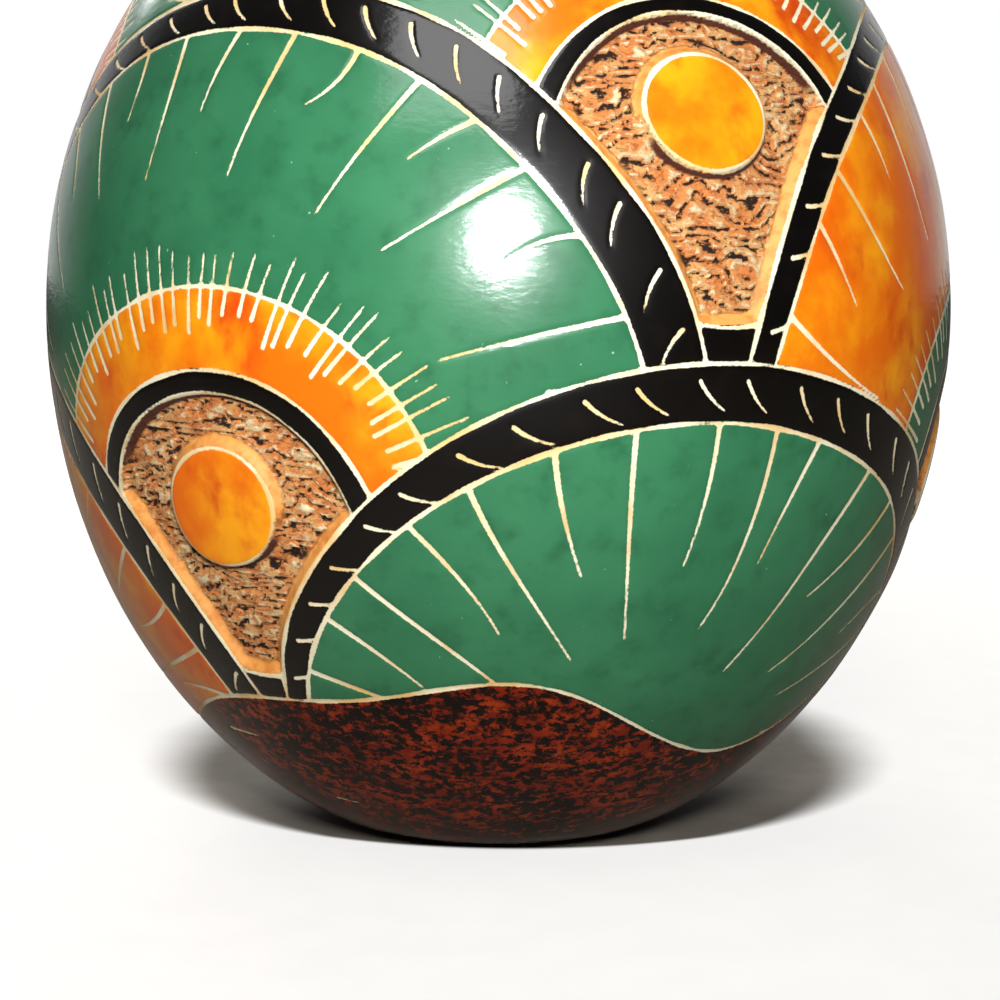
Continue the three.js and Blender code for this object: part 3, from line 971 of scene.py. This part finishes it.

# %% [markdown]
# Seen by the camera the paper also glows, and more so away from the pot, until it is as white as the room and
# its far edge is lost. A fixed patch round the foot and behind the pot doesn't glow, as a painted shadow
# placed where the pot hides the sheet from the lamp. It has a crisp edge in front, where the pot is close
# to the sheet, a softer one farther back, and dies away behind.

# %% Paper
SHADE_CENTRE = (0.004, 0.058, 0)
SHADE_RADIUS = 0.088
SHADE_FRONT, SHADE_BACK = -0.02, 0.06
SOFT_FRONT, SOFT_BACK = 0.002, 0.025
SHADE_END = (0.06, 0.14)
GLOW_EDGE = (0.1, 0.7)
NEAR_GLOW, FAR_GLOW = 0.78, 1.0
PAPER_ROUGHNESS = 0.8
WHITE = (1, 1, 1, 1)
paper, tree, shader = new_finish("uncoated_white_paper")
fibres = coats(tree, linear("#7b7468"), (patches(tree, 12, 0.3, 0.7), linear("#847d72")))
tree.links.new(fibres, shader.inputs["Base Color"])
shader.inputs["Roughness"].default_value = PAPER_ROUGHNESS
shader.inputs["Emission Color"].default_value = WHITE
# A painted shadow: the glow is left out in a circle round SHADE_CENTRE, sharp in front and softer behind.
place = add(tree, "ShaderNodeTexCoord").outputs["Object"]
reach = add(tree, "ShaderNodeVectorMath", {0: place, 1: SHADE_CENTRE}, operation="DISTANCE").outputs["Value"]
farther = add(tree, "ShaderNodeSeparateXYZ", {0: place}).outputs["Y"]
limits = {"Value": farther, "From Min": SHADE_FRONT, "From Max": SHADE_BACK}
limits |= {"To Min": SHADE_RADIUS - SOFT_FRONT, "To Max": SHADE_RADIUS - SOFT_BACK}
fade = add(tree, "ShaderNodeMapRange", limits).outputs["Result"]
limits = {"Value": reach, "From Min": fade, "From Max": SHADE_RADIUS}
aside = add(tree, "ShaderNodeMapRange", limits, interpolation_type="SMOOTHSTEP").outputs["Result"]
limits = {"Value": farther, "From Min": SHADE_END[0], "From Max": SHADE_END[1]}
behind = add(tree, "ShaderNodeMapRange", limits, interpolation_type="SMOOTHSTEP").outputs["Result"]
outside_painted_shadow = add(tree, "ShaderNodeMath", {0: aside, 1: behind}, operation="MAXIMUM").outputs[0]
limits = {"Value": reach, "From Min": GLOW_EDGE[0], "From Max": GLOW_EDGE[1]}
limits |= {"To Min": NEAR_GLOW, "To Max": FAR_GLOW}
level = add(tree, "ShaderNodeMapRange", limits).outputs["Result"]
ray = add(tree, "ShaderNodeLightPath")
seen = {0: ray.outputs["Is Camera Ray"], 1: outside_painted_shadow}
seen_floor = add(tree, "ShaderNodeMath", seen, operation="MULTIPLY").outputs[0]
glow = add(tree, "ShaderNodeMath", {0: seen_floor, 1: level}, operation="MULTIPLY")
tree.links.new(glow.outputs[0], shader.inputs["Emission Strength"])
sheet_mesh.materials.append(paper)
print(f"{paper.name}: {len(tree.nodes)} nodes")

# %% [markdown]
# The room is white behind the pot and dim behind the camera, as a photographer sets it up for anything
# glossy: the white shows in the gloss along the pot's edges, and the front keeps its deep colours. The
# camera itself sees white on every side.

# %% Room
AMBIENT = 0.04
DIM_SIDE, WHITE_SIDE = 0.04, 0.7
WHITE_FROM, WHITE_TO = 0.5, 1.0
room = bpy.data.worlds.new("white_room")
bpy.context.scene.world = room
room.use_nodes = True
tree = room.node_tree
ray = add(tree, "ShaderNodeLightPath")
towards = add(tree, "ShaderNodeSeparateXYZ", {0: add(tree, "ShaderNodeTexCoord").outputs["Generated"]})
limits = {"Value": towards.outputs["Y"], "From Min": WHITE_FROM, "From Max": WHITE_TO}
limits |= {"To Min": DIM_SIDE, "To Max": WHITE_SIDE}
mirrored = add(tree, "ShaderNodeMapRange", limits, interpolation_type="SMOOTHSTEP").outputs["Result"]
either = {MIX_FACTOR: ray.outputs["Is Glossy Ray"], NUMBER_A: AMBIENT, NUMBER_B: mirrored}
unseen = add(tree, "ShaderNodeMix", either).outputs[0]
either = {MIX_FACTOR: ray.outputs["Is Camera Ray"], NUMBER_A: unseen, NUMBER_B: 1.0}
level = add(tree, "ShaderNodeMix", either).outputs[0]
tree.links.new(level, tree.nodes["Background"].inputs["Strength"])
tree.nodes["Background"].inputs["Color"].default_value = WHITE
print(f"room: light {AMBIENT}, seen as white")

# %% [markdown]
# A round lamp stands by the camera and gives the round glint on the shoulder. A grid in front of it narrows
# its beam, so that it doesn't light the sheet before the pot, which would show as a grey haze in the gloss. A
# soft lamp overhead models the carving, and another behind lights the far side for the other views.

# %% Lamps
def soft_lamp(name, shape, size, beam, watts, place):
    """An area lamp of a size in metres, turned towards the middle of the pot, with a beam of some degrees."""
    light = bpy.data.lights.new(name, "AREA")
    light.shape = shape
    light.size = size
    light.spread = math.radians(beam)
    light.energy = watts
    lamp = bpy.data.objects.new(name, light)
    bpy.context.scene.collection.objects.link(lamp)
    lamp.location = place
    lamp.rotation_euler = (middle - Vector(place)).to_track_quat("-Z", "Y").to_euler()
    print(f"{name}: {watts} W at {place}")


middle = Vector((0, 0, belly_height * MM))
soft_lamp("round_lamp", "DISK", size=0.1, beam=60, watts=0.36, place=(0.01, -0.5, 0.24))
soft_lamp("top_lamp", "SQUARE", size=0.5, beam=180, watts=3.2, place=(-0.15, -0.6, 0.9))
soft_lamp("far_lamp", "SQUARE", size=0.7, beam=180, watts=8.0, place=(-0.3, 0.8, 0.8))

# %% [markdown]
# The camera stands half a metre away, a little above the widest line, and looks slightly down, as found by
# fitting the outline of the turned pot to the photograph's.

# %% Camera
CAMERA_PLACE = (0.0003, -0.5, 0.1331)
LOOK_DOWN = 7.75
LENS, SENSOR = 89.0, 36
camera_data = bpy.data.cameras.new("camera")
camera = bpy.data.objects.new("camera", camera_data)
bpy.context.scene.collection.objects.link(camera)
camera.location = CAMERA_PLACE
camera.rotation_euler = (math.radians(90 - LOOK_DOWN), 0, 0)
camera_data.sensor_width = SENSOR
camera_data.lens = LENS
bpy.context.scene.camera = camera
bpy.context.scene.view_settings.view_transform = "Standard"
print(f"camera: {camera_data.lens} mm lens")
